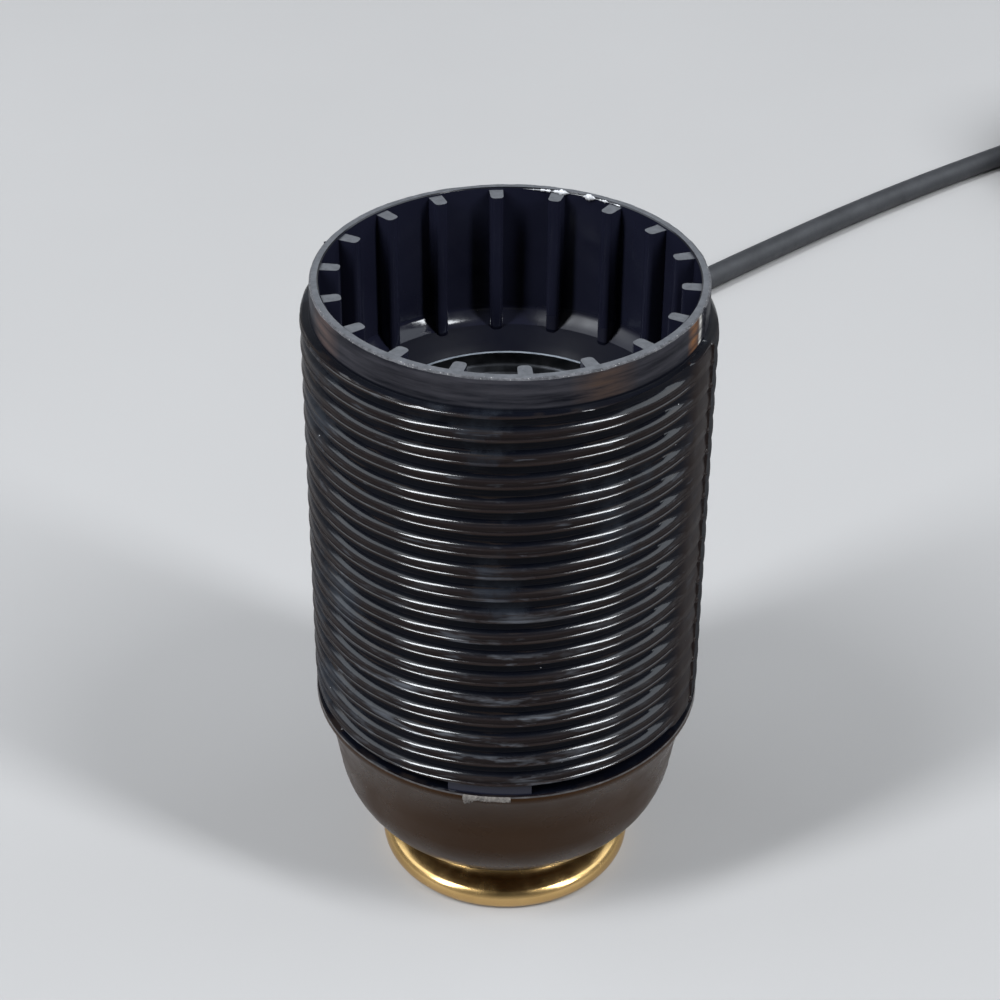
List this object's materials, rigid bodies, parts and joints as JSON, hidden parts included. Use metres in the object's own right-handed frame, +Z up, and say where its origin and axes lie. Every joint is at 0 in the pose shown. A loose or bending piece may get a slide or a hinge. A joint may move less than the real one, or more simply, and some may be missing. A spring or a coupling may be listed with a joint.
{
  "type": "lamp holder",
  "caption": "Screw lamp holder with a threaded black barrel, ribbed mouth and plated sleeve, on a domed cap with a turned brass foot, wired to a cord with a flat two-pin plug.",
  "frame": {"origin": "centre of the brass foot's underside, on the surface it stands on", "axes": "+Z up along the holder's axis, out of the lamp's mouth; +Y towards the side where the cord leaves; +X to the right seen from the front"},
  "size_m": [0.1793, 0.2059, 0.0691],
  "materials": {
    "black_moulding": "glossy thermoset moulding, a little dusty and scuffed",
    "brown_moulding": "smooth brown-black thermoset moulding",
    "polished_brass": "turned and polished brass",
    "plain_brass": "plain turned brass",
    "spring_bronze": "bent bronze strip",
    "nickel_sheet": "drawn sheet, nickel plated",
    "nickel_pin": "turned and nickel plated",
    "zinc_steel": "zinc-plated steel",
    "white_ceramic": "unglazed steatite",
    "fibre_saddle": "pressed fibre",
    "black_rubber": "soft black rubber",
    "cord_jacket": "matte black round jacket",
    "core_brown": "insulated core",
    "core_blue": "insulated core",
    "plug_moulding": "matte black moulding"
  },
  "bodies": {
    "holder": {"outer_shell": "black_moulding", "dome_cap": "brown_moulding", "brass_foot": "polished_brass", "lock_washer": "zinc_steel", "foot_nut": "zinc_steel", "screw_shell": "nickel_sheet", "contact_block": "white_ceramic", "terminal_live": "plain_brass", "terminal_neutral": "plain_brass", "terminal_screws": "zinc_steel", "leaf_rivet": "plain_brass", "neutral_rivet": "plain_brass", "sleeve_rivets": "plain_brass", "centre_leaf": "spring_bronze", "strain_relief": "black_rubber", "cord_clamp": "fibre_saddle", "clamp_screws": "zinc_steel", "cord_tail": "cord_jacket", "core_brown": "core_brown", "core_blue": "core_blue", "cord_stretch": "cord_jacket", "cord_lead": "cord_jacket", "cord_coil": "cord_jacket", "plug_body": "plug_moulding", "plug_relief": "plug_moulding", "plug_pins": "nickel_pin"},
    "centre_contact": {"contact_button": "plain_brass"}
  },
  "joints": [
    {"name": "contact_press", "type": "slide", "parent": "holder", "child": "centre_contact", "axis": [0, 0, -1], "range_m": [0, 0.0015], "stiffness_N_per_m": 2000, "deforming": ["centre_leaf"]}
  ]
}
